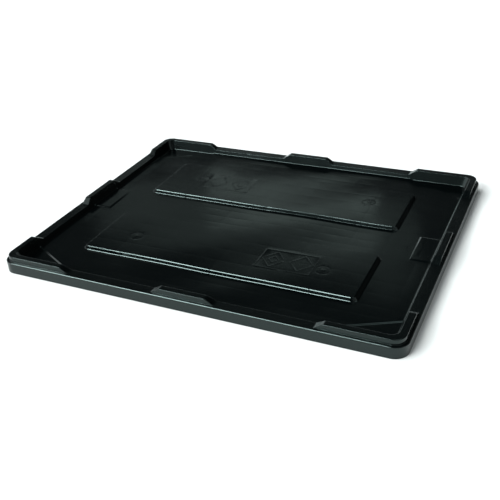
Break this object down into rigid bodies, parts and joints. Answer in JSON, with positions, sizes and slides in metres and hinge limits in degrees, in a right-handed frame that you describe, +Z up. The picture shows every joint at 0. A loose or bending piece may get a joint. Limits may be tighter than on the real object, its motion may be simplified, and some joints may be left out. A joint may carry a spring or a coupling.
{
  "type": "pallet box lid",
  "caption": "Rectangular moulded lid for a pallet box, with a skirt, corner stacking lips, side lugs and raised fields that guide pallet runners.",
  "frame": {"origin": "middle of the plan, at the bottom edge of the skirt", "axes": "+X along the long sides, +Y to the rear side, +Z up, the way the stacking lips point"},
  "size_m": [1.2, 1, 0.05],
  "materials": {
    "lid_plastic": "satin moulded, near black"
  },
  "bodies": {
    "root": {"corner_lip_front_left": "lid_plastic", "corner_lip_front_right": "lid_plastic", "corner_lip_rear_left": "lid_plastic", "corner_lip_rear_right": "lid_plastic", "drain_corner_front_left": "lid_plastic", "drain_corner_front_right": "lid_plastic", "drain_corner_rear_left": "lid_plastic", "drain_corner_rear_right": "lid_plastic", "end_deck_front_left": "lid_plastic", "end_deck_front_right": "lid_plastic", "end_deck_rear_left": "lid_plastic", "end_deck_rear_right": "lid_plastic", "hand_pad_left": "lid_plastic", "hand_pad_right": "lid_plastic", "locating_wall_front": "lid_plastic", "locating_wall_left": "lid_plastic", "locating_wall_rear": "lid_plastic", "locating_wall_right": "lid_plastic", "runner_guide_front": "lid_plastic", "runner_guide_rear": "lid_plastic", "runner_seat_front": "lid_plastic", "runner_seat_middle": "lid_plastic", "runner_seat_rear": "lid_plastic", "side_lug_front": "lid_plastic", "side_lug_left": "lid_plastic", "side_lug_rear": "lid_plastic", "side_lug_right": "lid_plastic", "skirt_front": "lid_plastic", "skirt_left": "lid_plastic", "skirt_rear": "lid_plastic", "skirt_right": "lid_plastic"}
  },
  "joints": []
}
